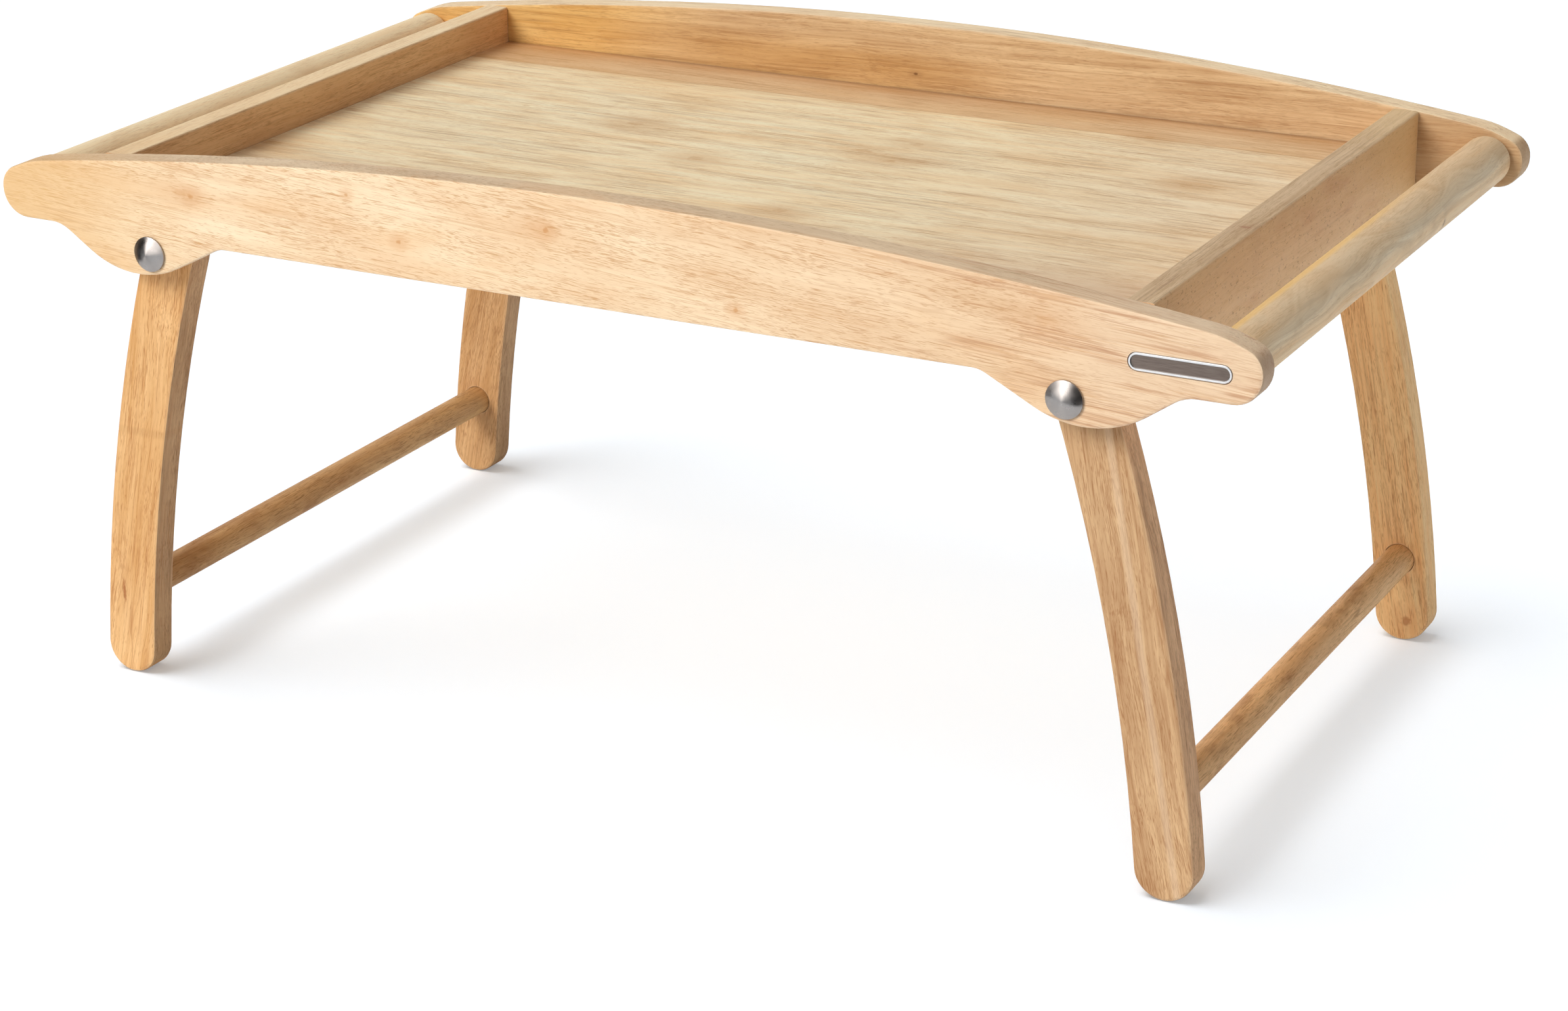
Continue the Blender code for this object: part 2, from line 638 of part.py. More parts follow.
def make_inlay_plate(board):
    """A bare stadium plate with a raised rim, in a pocket of the front board."""
    name = "inlay_plate"
    middle = Vector((TIP_X - PLATE_FROM_TIP, -BOARD_OUTER_Y, NOSE_BOTTOM_Z + PLATE_ABOVE_NOSE))
    pocket_depth = PLATE_THICK + FIT_GAP
    pocket_outline = stadium(PLATE_LENGTH + 2 * FIT_GAP, PLATE_WIDTH + 2 * FIT_GAP)
    pocket_mesh = outline_mesh(name + "_pocket", pocket_outline, 2 * pocket_depth)
    pocket = new_object(name + "_pocket", pocket_mesh, location=middle)
    add_boolean(board, pocket)
    plate_mesh = outline_mesh(name, stadium(PLATE_LENGTH, PLATE_WIDTH), PLATE_THICK)
    plate = new_object(name, plate_mesh, METAL["inlay_plate"],
                       location=middle + Vector((0, PLATE_THICK / 2, 0)))
    add_ease(plate, PLATE_EASE, 1)
    field_outline = stadium(PLATE_LENGTH - 2 * PLATE_RIM, PLATE_WIDTH - 2 * PLATE_RIM)
    field_mesh = outline_mesh(name + "_field", field_outline, 2 * PLATE_RECESS)
    field = new_object(name + "_field", field_mesh, location=middle)
    add_boolean(plate, field)


def make_legs(side, out):
    """Both legs of a side with their stretcher, on one pivot axis."""
    pivot = bpy.data.objects.new(side + "_leg_axis", None)
    pivot.location = (out * PIVOT_X, 0, PIVOT_HEIGHT)
    pivot.empty_display_size = LEG_WIDTH
    TRAY.objects.link(pivot)
    for face, way in FACES.items():
        make_leg(face, way, side, out, pivot)
    make_stretcher(side, out, pivot)


def make_tray():
    boards = {face: make_side_board(face, way) for face, way in FACES.items()}
    make_inlay_plate(boards["front"])
    make_floor_panel()
    for side, out in SIDES.items():
        make_end_rail(side, out)
        make_rail_pins(side, out)
        make_handle(side, out)
        make_legs(side, out)
        for face, way in FACES.items():
            make_pivot(face, way, side, out)


clear_scene()
TRAY = new_collection("bed_tray")
CUTTERS = new_collection("cutters")

BOARD_COLOUR = (0.72, 0.47, 0.25)
RAIL_COLOUR = (0.62, 0.40, 0.22)
FLOOR_COLOUR = (0.70, 0.49, 0.28)
HANDLE_COLOUR = (0.66, 0.49, 0.29)
LEG_COLOUR = (0.66, 0.40, 0.20)
PIN_COLOUR = (0.70, 0.52, 0.32)
STEEL_COLOUR = (0.60, 0.59, 0.58)
PLATE_COLOUR = (0.68, 0.67, 0.66)
WOOD_ROUGHNESS = 0.45
STEEL_ROUGHNESS = 0.28

WOOD = {"rail_pins": principled("pin_wood", PIN_COLOUR, WOOD_ROUGHNESS)}
WOOD["tray_floor_panel"] = principled("tray_floor_panel_wood", FLOOR_COLOUR, WOOD_ROUGHNESS)
for face_name in FACES:
    full_name = face_name + "_side_board"
    WOOD[full_name] = principled(full_name + "_wood", BOARD_COLOUR, WOOD_ROUGHNESS)
for side_name in SIDES:
    side_pieces = {"end_rail": RAIL_COLOUR, "handle_dowel": HANDLE_COLOUR, "leg_stretcher": LEG_COLOUR}
    for piece, piece_colour in side_pieces.items():
        full_name = side_name + "_" + piece
        WOOD[full_name] = principled(full_name + "_wood", piece_colour, WOOD_ROUGHNESS)
    for face_name in FACES:
        full_name = face_name + "_" + side_name + "_leg"
        WOOD[full_name] = principled(full_name + "_wood", LEG_COLOUR, WOOD_ROUGHNESS)
METAL = {
    "pivot_bolts": principled("bolt_steel", STEEL_COLOUR, STEEL_ROUGHNESS, 1.0),
    "washers": principled("washer_steel", STEEL_COLOUR, STEEL_ROUGHNESS, 1.0),
    "cap_nuts": principled("nut_steel", STEEL_COLOUR, STEEL_ROUGHNESS, 1.0),
    "inlay_plate": principled("plate_steel", PLATE_COLOUR, STEEL_ROUGHNESS, 1.0),
}

make_tray()
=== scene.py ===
"""Looks of the wooden bed tray: procedural rubberwood and steel, plain studio light and floor.

Everything is in metres in the model's own frame: +X along the tray to the right handle, +Y to the
back board, +Z up, the origin on the ground under the middle of the tray.
"""
import math

import bpy
from mathutils import Euler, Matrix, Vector


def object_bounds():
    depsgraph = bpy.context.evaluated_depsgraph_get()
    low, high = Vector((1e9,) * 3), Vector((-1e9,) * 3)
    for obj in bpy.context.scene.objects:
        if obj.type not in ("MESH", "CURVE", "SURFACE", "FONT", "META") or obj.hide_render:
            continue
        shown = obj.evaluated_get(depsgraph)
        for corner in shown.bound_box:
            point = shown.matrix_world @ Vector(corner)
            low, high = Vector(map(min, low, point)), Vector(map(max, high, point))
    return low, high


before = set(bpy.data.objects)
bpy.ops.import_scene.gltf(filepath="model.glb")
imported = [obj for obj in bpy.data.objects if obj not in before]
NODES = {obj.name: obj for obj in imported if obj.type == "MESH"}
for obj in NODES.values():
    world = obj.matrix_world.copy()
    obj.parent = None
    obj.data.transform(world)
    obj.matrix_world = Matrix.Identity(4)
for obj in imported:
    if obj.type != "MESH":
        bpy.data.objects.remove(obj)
CAD_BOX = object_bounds()
TRAY_LENGTH = CAD_BOX[1][0] - CAD_BOX[0][0]
X, Y, Z = range(3)


def box_of(node):
    """The low and the high corner of a CAD node's own mesh."""
    places = [vertex.co for vertex in NODES[node].data.vertices]
    low = Vector([min(place[axis] for place in places) for axis in (X, Y, Z)])
    high = Vector([max(place[axis] for place in places) for axis in (X, Y, Z)])
    return low, high


def middle_of(node):
    """The middle of a CAD node's box."""
    low, high = box_of(node)
    return (low + high) / 2


# Places that the looks refer to, taken from the pieces
FRONT_FACE_Y = box_of("front_side_board")[0].y
FLOOR_TOP_Z = box_of("tray_floor_panel")[1].z
RAIL_OUTER_X = box_of("right_end_rail")[1].x
HANDLE_AXIS = middle_of("right_handle_dowel")
PIVOT_AXIS = middle_of("front_right_pivot_bolt")


# Small helpers for node trees

class Tree:
    """Adds nodes to a node tree and links them, one call for each node."""

    def __init__(self, tree):
        self.tree = tree

    def put(self, socket, value):
        """Links a socket, or sets its value."""
        if isinstance(value, bpy.types.NodeSocket):
            self.tree.links.new(value, socket)
        elif hasattr(socket, "default_value"):
            socket.default_value = value

    def add(self, kind, values=None, **settings):
        """Adds a node, with values for its inputs."""
        node = self.tree.nodes.new(kind)
        for key, value in settings.items():
            setattr(node, key, value)
        for key, value in (values or {}).items():
            self.put(node.inputs[key], value)
        return node

    def math(self, operation, a, b=0.0, clamp=False):
        node = self.add("ShaderNodeMath", {0: a, 1: b}, operation=operation, use_clamp=clamp)
        return node.outputs[0]

    def plus(self, a, b, clamp=False):
        return self.math("ADD", a, b, clamp)

    def minus(self, a, b):
        return self.math("SUBTRACT", a, b)

    def times(self, product, *factors):
        """The product of all that is given."""
        for factor in factors:
            product = self.math("MULTIPLY", product, factor)
        return product

    def size(self, value):
        return self.math("ABSOLUTE", value)

    def vector(self, operation, a, b=(0, 0, 0)):
        node = self.add("ShaderNodeVectorMath", {0: a, 1: b}, operation=operation)
        return node.outputs["Value" if operation in ("LENGTH", "DOT_PRODUCT") else "Vector"]

    def split(self, vector):
        """The three parts of a vector."""
        return self.add("ShaderNodeSeparateXYZ", {0: vector}).outputs

    def join(self, x=0.0, y=0.0, z=0.0):
        return self.add("ShaderNodeCombineXYZ", {0: x, 1: y, 2: z}).outputs[0]

    def where(self, kind):
        """The place or the direction that the shader is at, in a node's own frame."""
        return self.add("ShaderNodeTexCoord").outputs[kind]

    def noise(self, vector, scale, detail=2.0, roughness=0.5, output="Fac"):
        """Noise with this many waves in a metre along each axis."""
        values = {
            "Vector": self.vector("MULTIPLY", vector, scale),
            "Scale": 1.0,
            "Detail": detail,
            "Roughness": roughness,
        }
        return self.add("ShaderNodeTexNoise", values).outputs[output]

    def swing(self, noise, amount):
        """How far a noise lies from its mean of a half, times an amount."""
        return self.times(self.minus(noise, 0.5), amount)

    def hair(self, noise, width):
        """1 on the thin lines where a noise passes its mean, 0 from width on."""
        return self.ramp(self.size(self.minus(noise, 0.5)), width, 0.0)

    def ramp(self, value, low, high, out_low=0.0, out_high=1.0):
        """A smooth step from out_low at low to out_high at high, where high may be the smaller one."""
        values = {"Value": value, "From Min": low, "From Max": high, "To Min": out_low, "To Max": out_high}
        return self.add("ShaderNodeMapRange", values, interpolation_type="SMOOTHSTEP").outputs["Result"]

    def mix(self, factor, a, b):
        """The colour between a, at 0, and b, at 1."""
        node = self.add("ShaderNodeMix", data_type="RGBA")
        inputs = {socket.identifier: socket for socket in node.inputs}
        outputs = {socket.identifier: socket for socket in node.outputs}
        self.put(inputs["Factor_Float"], factor)
        self.put(inputs["A_Color"], a)
        self.put(inputs["B_Color"], b)
        return outputs["Result_Color"]

    def relief(self, height, strength, distance):
        """A surface direction that follows a height."""
        values = {"Height": height, "Strength": strength, "Distance": distance}
        return self.add("ShaderNodeBump", values).outputs[0]


class Material:
    """A new material with its node tree and its shader."""

    def __init__(self, name):
        self.material = bpy.data.materials.new(name)
        self.material.use_nodes = True
        self.tree = Tree(self.material.node_tree)
        self.shader = self.material.node_tree.nodes["Principled BSDF"]

    def set(self, **values):
        """Sets or links the shader's inputs, each under its name with underscores for spaces."""
        for name, value in values.items():
            self.tree.put(self.shader.inputs[name.replace("_", " ")], value)


def colour(red, green, blue):
    """A linear colour from the usual 0 to 255 values."""
    def linear(value):
        value /= 255
        return value / 12.92 if value <= 0.04045 else ((value + 0.055) / 1.055) ** 2.4
    return (linear(red), linear(green), linear(blue), 1.0)


def tints(light, dark, pore):
    """The three colours of a wood, from 0 to 255 values."""
    return colour(*light), colour(*dark), colour(*pore)


# Rubberwood, as a solid pattern whose fibres run along its own X axis

# Waves in a metre, along the fibres and in the two directions across them
SWAY_WAVES = (4.5, 14, 14)
FIGURE_WAVES = (26, 42, 42)
PATCH_WAVES = (13, 48, 48)
STREAK_WAVES = (3.2, 210, 210)
THREAD_WAVES = (12, 800, 800)
VEIN_WAVES = (2.6, 190, 190)
VEIN_GAP_WAVES = (20, 90, 90)
PORE_CROWD_WAVES = (16, 110, 110)
LONG_PORE_WAVES = (105, 2900, 2900)
SHORT_PORE_WAVES = (240, 3500, 3500)
LINE_GAP_WAVES = (22, 120, 120)
SWIRL_WAVES = (10, 40, 40)
KNOT_FRAY_WAVES = (500, 500, 500)

# Waves in a metre away from the pith, and along the fibres
RING_WAVES = (330, 1.5, 0)

# How far the fibres bend, how wide and how strong the marks are, and the usual amounts
SWAY_REACH = 0.012
FIGURE_REACH = 0.0028
VEIN_WIDTH = 0.022
PORE_EDGE = 0.13
SHORT_PORE_SHARE = 0.8
WOOD_ROUGHNESS = 0.42
STREAK_ROUGHNESS = 0.16
PORE_ROUGHNESS = 0.2
THREAD_HEIGHT = 0.35
PORE_DEPTH = 0.8
AMOUNTS = {"Pore": 0.4, "Line": 0.2, "Ring": 0.4, "Streak": 0.5, "Patch": 0.9}


def wood_sockets(group):
    """The wood group's inputs and outputs."""
    sockets = group.interface
    sockets.new_socket("Vector", in_out="INPUT", socket_type="NodeSocketVector")
    for name in ("Light", "Dark", "Pore"):
        sockets.new_socket(name, in_out="INPUT", socket_type="NodeSocketColor")
    for name, value in AMOUNTS.items():
        amount = sockets.new_socket(name + " Amount", in_out="INPUT", socket_type="NodeSocketFloat")
        amount.default_value = value
    for name, kind in (("Color", "Color"), ("Roughness", "Float"), ("Height", "Float")):
        sockets.new_socket(name, in_out="OUTPUT", socket_type="NodeSocket" + kind)


def make_wood_group():
    """Fibres, streaks, growth rings, long vessel lines and pore dashes, with the colours as inputs."""
    group = bpy.data.node_groups.new("rubberwood", "ShaderNodeTree")
    wood_sockets(group)
    tree = Tree(group)
    given = tree.add("NodeGroupInput").outputs
    place = given["Vector"]

    # The grain wanders a little and swings round figure
    fibre = place
    for waves, detail, reach in ((SWAY_WAVES, 2, SWAY_REACH), (FIGURE_WAVES, 1, FIGURE_REACH)):
        bend = tree.vector("SUBTRACT", tree.noise(place, waves, detail, 0.5, "Color"), (0.5, 0.5, 0.5))
        fibre = tree.vector("ADD", fibre, tree.vector("MULTIPLY", bend, (0.0, reach, reach)))

    # Light and dark wood, from patches down to threads, and growth rings round the pith
    streak = tree.noise(fibre, STREAK_WAVES, 3, 0.6)
    thread = tree.noise(fibre, THREAD_WAVES, 3, 0.65)
    parts = tree.split(fibre)
    from_pith = tree.vector("LENGTH", tree.join(0.0, parts[Y], parts[Z]))
    rings = tree.noise(tree.join(from_pith, parts[X]), RING_WAVES, 2, 0.6)
    tone = tree.plus(tree.swing(tree.noise(fibre, PATCH_WAVES, 3, 0.55), given["Patch Amount"]), 0.5)
    tone = tree.plus(tone, tree.swing(streak, given["Streak Amount"]))
    tone = tree.plus(tone, tree.swing(thread, given["Streak Amount"]))
    tone = tree.plus(tone, tree.swing(rings, given["Ring Amount"]), clamp=True)
    base = tree.mix(tone, given["Light"], given["Dark"])

    # Vessels cut lengthwise: long hair lines, and two sizes of short dashes
    vein = tree.hair(tree.noise(fibre, VEIN_WAVES, 1, 0.4), VEIN_WIDTH)
    gaps = tree.ramp(tree.noise(fibre, VEIN_GAP_WAVES), 0.44, 0.60)
    vein = tree.times(vein, gaps, given["Line Amount"])
    level = tree.ramp(tree.noise(fibre, PORE_CROWD_WAVES), 0.34, 0.60, 0.63, 0.55)
    long_pore, short_pore = [
        tree.ramp(tree.minus(tree.noise(fibre, waves, 1, 0.4), level), 0.0, PORE_EDGE)
        for waves in (LONG_PORE_WAVES, SHORT_PORE_WAVES)
    ]
    pore = tree.math("MAXIMUM", long_pore, tree.times(short_pore, SHORT_PORE_SHARE))
    dark = tree.math("MAXIMUM", tree.times(pore, given["Pore Amount"]), vein)

    rough = tree.plus(tree.times(streak, STREAK_ROUGHNESS), WOOD_ROUGHNESS)
    rough = tree.plus(rough, tree.times(pore, PORE_ROUGHNESS))
    height = tree.minus(tree.times(thread, THREAD_HEIGHT), tree.times(pore, PORE_DEPTH))
    results = {"Color": tree.mix(dark, base, given["Pore"]), "Roughness": rough, "Height": height}
    tree.add("NodeGroupOutput", results)
    return group


WOOD_GROUP = make_wood_group()
WOOD_TURNS = {X: (0, 0, 0), Y: (0, 0, math.radians(90)), Z: (0, math.radians(90), 0)}
WOOD_REFRACTION = 1.46
WOOD_SHINE = 0.22
WOOD_RELIEF = 0.00007
EDGE_RADIUS = 0.0014
# Rounded edges turn paler: partly wear, partly a painted highlight
EDGE_WEAR_AND_HIGHLIGHT = (0.9, 0.76, 0.58, 1)
EDGE_WEAR_AND_HIGHLIGHT_AMOUNT = 0.18
WORN_POLISH = 0.06


class Wood(Material):
    """One wooden piece's material, built from the wood group and finished by the calls below.

    The seed and the pith place the piece in its log, and the lean turns its fibres. Every mask is
    a number or a socket from 0 to 1, and every tint lies over the tints before it.
    """

    def __init__(self, name, grain, seed, pith, shades, lean=0.0, shine=WOOD_SHINE, **amounts):
        super().__init__(name)
        self.set(IOR=WOOD_REFRACTION, Specular_IOR_Level=shine)
        self.place = self.tree.where("Object")
        self.facing = self.tree.where("Normal")
        turn = Vector(WOOD_TURNS[grain])
        turn.y += lean
        in_log = {"Vector": self.place, "Location": (seed, *pith), "Rotation": turn}
        self.grain = self.tree.add("ShaderNodeMapping", in_log, vector_type="POINT").outputs[0]
        self.tints = tints(*shades)
        values = {key.title() + " Amount": value for key, value in amounts.items()}
        values["Vector"] = self.grain
        self.pattern = self.tree.add("ShaderNodeGroup", node_tree=WOOD_GROUP)
        for key, value in values.items():
            self.tree.put(self.pattern.inputs[key], value)
        self.colour = self.pattern.outputs["Color"]

    # Masks

    def axis(self, number):
        """One coordinate of the place."""
        return self.tree.split(self.place)[number]

    def past(self, axis, low, high):
        """1 past high along an axis, 0 before low."""
        return self.tree.ramp(self.axis(axis), low, high)

    def looks(self, axis, low=0.70, high=0.92):
        """1 on the faces that look along an axis, against it where low and high are negative."""
        return self.tree.ramp(self.tree.split(self.facing)[axis], low, high)

    def along(self, direction, centre):
        """How far a place lies from centre along a direction."""
        off = self.tree.vector("SUBTRACT", self.place, centre)
        return self.tree.vector("DOT_PRODUCT", off, direction)

    def strip(self, value, wide, core):
        """1 where a value is smaller than core, 0 from wide on, on both sides of zero."""
        return self.tree.ramp(self.tree.size(value), wide, core)

    # Colours

    def other_tints(self, mask, shades):
        """Gives the pattern other colours where the mask is 1."""
        self.tints = [self.tree.mix(mask, old, new) for old, new in zip(self.tints, tints(*shades))]

    def tint(self, shade, *masks):
        """Mixes in a colour of 0 to 255 values, by the product of the masks."""
        self.colour = self.tree.mix(self.tree.times(*masks), self.colour, colour(*shade))

    def ends(self, axis, shade, amount):
        """Tints the faces that look both ways along an axis, where the end grain shows."""
        both_ways = self.tree.size(self.tree.split(self.facing)[axis])
        self.tint(shade, self.tree.ramp(both_ways, 0.55, 0.90), amount)

    def lines(self, along, across, width, shade, *masks):
        """Long broken hair lines, with this many waves in a metre along and across the grain."""
        hair = self.tree.hair(self.tree.noise(self.grain, (along, across, across)), width)
        gaps = self.tree.ramp(self.tree.noise(self.grain, LINE_GAP_WAVES), 0.40, 0.62)
        self.tint(shade, hair, gaps, *masks)

    def swirl(self, bend, count, shade, amount):
        """Flowing bands of figure along the grain: how far they bend, and how many in a metre."""
        flow = self.tree.swing(self.tree.noise(self.grain, SWIRL_WAVES, 1), bend)
        sheets = self.tree.plus(self.tree.split(self.grain)[Z], flow)
        bands = self.tree.noise(self.tree.join(sheets), (count, 0, 0), 2, 0.6)
        self.tint(shade, self.tree.ramp(bands, 0.38, 0.64), amount)

    def blotch(self, waves, low, high, shade, *masks):
        """Tints in blotches, with this many waves in a metre along each axis."""
        spots = self.tree.noise(self.place, waves, 3, 0.55)
        self.tint(shade, self.tree.ramp(spots, low, high), *masks)

    def knot(self, centre, radii, shade, core, halo):
        """A small knot with a soft halo round it."""
        tree = self.tree
        off = tree.vector("SUBTRACT", self.place, centre)
        away = tree.vector("LENGTH", tree.vector("MULTIPLY", off, tuple(1 / radius for radius in radii)))
        away = tree.plus(away, tree.swing(tree.noise(self.place, KNOT_FRAY_WAVES), 0.9))
        inside = tree.times(tree.ramp(away, 1.15, 0.3), core)
        around = tree.times(tree.ramp(away, 4.0, 0.6), halo)
        self.tint(shade, tree.math("MAXIMUM", inside, around))

    def done(self, relief=WOOD_RELIEF):
        """Adds worn edges, paler both as wear and as a painted highlight, and the surface relief, and links
        the shader.
        """
        tree = self.tree
        for key, tint in zip(("Light", "Dark", "Pore"), self.tints):
            tree.put(self.pattern.inputs[key], tint)
        soft = tree.add("ShaderNodeBevel", {"Radius": EDGE_RADIUS}, samples=4).outputs[0]
        hard = tree.add("ShaderNodeNewGeometry").outputs["True Normal"]
        edge = tree.ramp(tree.minus(1.0, tree.vector("DOT_PRODUCT", soft, hard)), 0.01, 0.10)
        rough = tree.minus(self.pattern.outputs["Roughness"], tree.times(edge, WORN_POLISH))
        # Paler rounded edges, partly wear and partly a painted highlight
        self.set(
            Base_Color=tree.mix(tree.times(edge, EDGE_WEAR_AND_HIGHLIGHT_AMOUNT), self.colour, EDGE_WEAR_AND_HIGHLIGHT),
            Roughness=rough,
            Normal=tree.relief(self.pattern.outputs["Height"], 0.5, relief),
        )
        return self.material


# Side boards: fibres along the tray

KNOT_BROWN = (206, 138, 74)
KNOT_DEPTH = 0.02

# Place along X and Z, and radius
SMALL_FRONT_KNOTS = [
    (-0.1950, 0.2440, 0.0019),
    (-0.1126, 0.2551, 0.0011),
    (-0.0872, 0.2378, 0.0015),
    (-0.0137, 0.2524, 0.0018),
    (0.0748, 0.2306, 0.0013),
]

# Place along X and Z, half the width, half the height, and how strong the core is
BROAD_FRONT_KNOTS = [
    (-0.0215, 0.2532, 0.0045, 0.0028, 0.30),
    (-0.2010, 0.2450, 0.0060, 0.0024, 0.35),
    (0.2120, 0.2455, 0.0070, 0.0044, 0.30),
]


def front_board_wood():
    """Pale, a little darker to the right and on the top edge as painted shade, with small knots and fibres
    that slope down a little.
    """
    wood = Wood("front_board_wood", X, 0.31, (0.09, -0.16), lean=math.radians(-4),
                shades=((255, 232, 196), (236, 196, 152), (198, 138, 80)),
                pore=0.62, line=0.22, ring=0.25, streak=0.6, patch=1.5)
    # Painted shade: darker tints to the right and on the top edge
    wood.other_tints(wood.past(X, -0.06, 0.22), ((248, 218, 180), (220, 180, 138), (190, 134, 88)))
    wood.other_tints(wood.looks(Z), ((240, 214, 178), (210, 178, 140), (166, 128, 90)))
    wood.blotch((14, 40, 40), 0.50, 0.72, (242, 200, 152), 0.42)

    # The left nose is more golden, the right one paler
    wood.tint((232, 184, 120), 0.65, wood.past(X, -0.18, -0.30))
    wood.tint((240, 212, 180), 0.42, wood.past(X, 0.19, 0.25))

    far_right = wood.past(X, 0.10, 0.22)
    wood.lines(15, 760, 0.050, (206, 150, 96), 0.40)
    wood.lines(6, 330, 0.045, (182, 124, 86), 0.60, far_right)
    wood.lines(12, 620, 0.060, (196, 146, 108), 0.40, far_right)
    wood.ends(X, (172, 138, 108), 0.66)
    for x, z, radius in SMALL_FRONT_KNOTS:
        wood.knot((x, FRONT_FACE_Y, z), (radius * 1.3, KNOT_DEPTH, radius), KNOT_BROWN, 0.70, 0.30)
    for x, z, width, height, core in BROAD_FRONT_KNOTS:
        wood.knot((x, FRONT_FACE_Y, z), (width, KNOT_DEPTH, height), KNOT_BROWN, core, 0.16)
    return wood.done()


def back_board_wood():
    """Browner, partly as painted shade of the inner face, and strongly streaked, golden at the left, with a
    paler top edge and outer face.
    """
    wood = Wood("back_board_wood", X, 1.77, (-0.10, -0.30), lean=math.radians(1),
                shades=((230, 198, 154), (196, 156, 112), (148, 102, 60)),
                pore=0.35, line=0.30, ring=0.6, streak=1.3, patch=1.4)
    wood.other_tints(wood.past(X, -0.10, -0.20), ((238, 195, 124), (208, 152, 78), (158, 100, 48)))
    low_middle = wood.tree.times(
        wood.past(X, -0.20, -0.10), wood.past(X, 0.08, -0.02), wood.past(Z, 0.262, 0.246))
    wood.other_tints(low_middle, ((221, 178, 122), (193, 146, 91), (144, 96, 54)))
    # The tints above carry painted shade of the inner face; the top edge and the outer face get paler ones
    wood.other_tints(wood.looks(Z), ((255, 232, 192), (242, 208, 164), (196, 152, 104)))
    wood.other_tints(wood.looks(Y), ((255, 230, 192), (236, 194, 148), (192, 136, 82)))
    wood.lines(5, 420, 0.060, (158, 108, 60), 0.40)
    wood.ends(X, (196, 156, 116), 0.50)

    # Painted shade on the inner face beyond the right rail, behind the handle
    painted_shade_behind_handle = wood.past(X, RAIL_OUTER_X - 0.0005, RAIL_OUTER_X + 0.0001)
    wood.tint((170, 124, 78), 0.40, painted_shade_behind_handle, wood.looks(Y, -0.70, -0.92))
    wood.knot((-0.0040, 0.158, 0.2440), (0.0015, KNOT_DEPTH, 0.0009), (106, 64, 32), 0.8, 0.16)
    return wood.done()


# Floor panel: staves along the tray, the one at the back with its own tone and a straight joint

STAVE_JOINT_Y = 0.1228
PANEL_SHINE = 0.18
PANEL_RELIEF = 0.00002

# Place along X and Y, and radius
FLOOR_KNOTS = [
    (0.0235, 0.0471, 0.0030),
    (0.0406, 0.0678, 0.0026),
    (0.0418, 0.0366, 0.0020),
    (0.0556, 0.0421, 0.0022),
    (-0.0406, 0.0029, 0.0028),
    (-0.0958, 0.0443, 0.0034),
    (0.1775, 0.0578, 0.0026),
    (0.1327, 0.1242, 0.0022),
    (0.0343, -0.0551, 0.0026),
    (-0.2330, -0.0590, 0.0040),
]


def floor_panel_wood():
    """The palest piece, a little darker to the right as painted shade, with many small knots."""
    wood = Wood("floor_panel_wood", X, 3.10, (0.02, -0.35), shine=PANEL_SHINE,
                shades=((255, 246, 212), (255, 222, 172), (200, 148, 92)),
                pore=0.45, line=0.26, ring=0.4, streak=0.9, patch=1.0)
    back_stave = wood.past(Y, STAVE_JOINT_Y - 0.0002, STAVE_JOINT_Y + 0.0002)
    # Painted shade: a little darker to the right
    wood.other_tints(wood.past(X, 0.02, 0.22), ((255, 238, 204), (238, 204, 158), (184, 140, 92)))
    wood.other_tints(back_stave, ((248, 219, 178), (222, 184, 140), (176, 128, 82)))
    wood.blotch((3.0, 26, 26), 0.50, 0.68, (230, 188, 134), 0.30)
    wood.blotch((16, 60, 60), 0.50, 0.70, (226, 180, 124), 0.28)
    for x, y, radius in FLOOR_KNOTS:
        radii = (radius * 2.4, radius * 1.7, KNOT_DEPTH)
        wood.knot((x, y, FLOOR_TOP_Z), radii, (192, 136, 74), 0.50, 0.30)
    wood.lines(5, 520, 0.050, (188, 140, 88), 0.34)
    wood.lines(9, 300, 0.024, (168, 118, 68), 0.38)
    wood.lines(14, 900, 0.060, (178, 130, 80), 0.45)

    # Painted shade along the back board, deepest at the edge, and painted shade that dulls the front
    wood.tint((178, 126, 72), 0.45, wood.past(Y, 0.1300, 0.1560))
    wood.tint((122, 80, 44), 0.65, wood.past(Y, 0.1520, 0.1585))
    wood.tint((196, 158, 130), 0.54, wood.past(Y, -0.0500, -0.1200))

    # The underside, the corner at the back left, and the joint of the staves
    wood.other_tints(wood.looks(Z, -0.70, -0.92), ((248, 218, 174), (230, 190, 142), (182, 134, 84)))
    wood.tint((206, 146, 76), 0.35, wood.past(Y, 0.115, 0.125), wood.past(X, -0.12, -0.23))
    from_joint = wood.tree.minus(wood.axis(Y), STAVE_JOINT_Y)
    wood.tint((150, 100, 58), 0.5, wood.strip(from_joint, 0.00035, 0.00010))
    return wood.done(relief=PANEL_RELIEF)


# End rails: fibres across the tray

def left_rail_wood():
    """Brown, partly as painted shade, with a pale top edge as painted light."""
    wood = Wood("left_rail_wood", Y, 4.4, (0.08, -0.20),
                shades=((248, 208, 157), (216, 164, 112), (154, 101, 57)),
                pore=0.42, line=0.30, ring=0.5, streak=0.8, patch=1.2)
    # Painted light: the top edge is paler than the shaded faces below it
    wood.other_tints(wood.looks(Z), ((255, 232, 190), (246, 206, 154), (206, 160, 112)))
    wood.lines(9, 480, 0.050, (168, 116, 70), 0.30)
    return wood.done()


